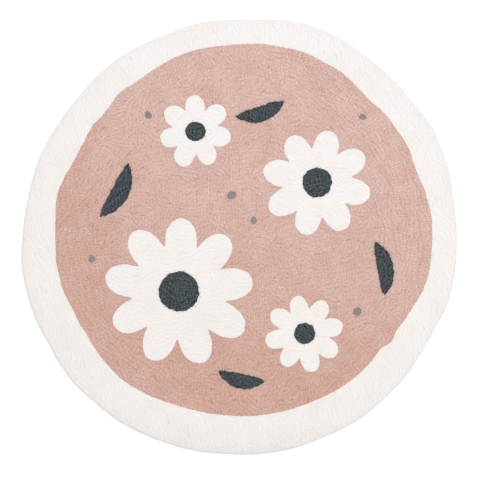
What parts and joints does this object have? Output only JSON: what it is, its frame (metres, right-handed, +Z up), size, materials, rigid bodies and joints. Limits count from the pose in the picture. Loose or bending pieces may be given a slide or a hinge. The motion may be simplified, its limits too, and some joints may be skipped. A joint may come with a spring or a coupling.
{
  "type": "round felt kids rug",
  "caption": "Round hand-felted wool rug for a child's room, with an uneven hand-shaped rim, a plain border and an inlaid field.",
  "frame": {"origin": "middle of the flat underside, on the floor", "axes": "+Z up through the felt, +Y towards the top of the design, +X towards its right-hand side"},
  "size_m": [1.1974, 1.196, 0.0101],
  "materials": {
    "felt_cream": "undyed cream wool felt, matt, softly fuzzy",
    "felt_pink": "dusty pink wool felt, matt, softly mottled",
    "felt_slate": "dark slate wool felt, matt",
    "felt_grey": "warm grey wool felt, matt"
  },
  "bodies": {
    "root": {"felt_rug": "felt_cream"}
  },
  "joints": []
}
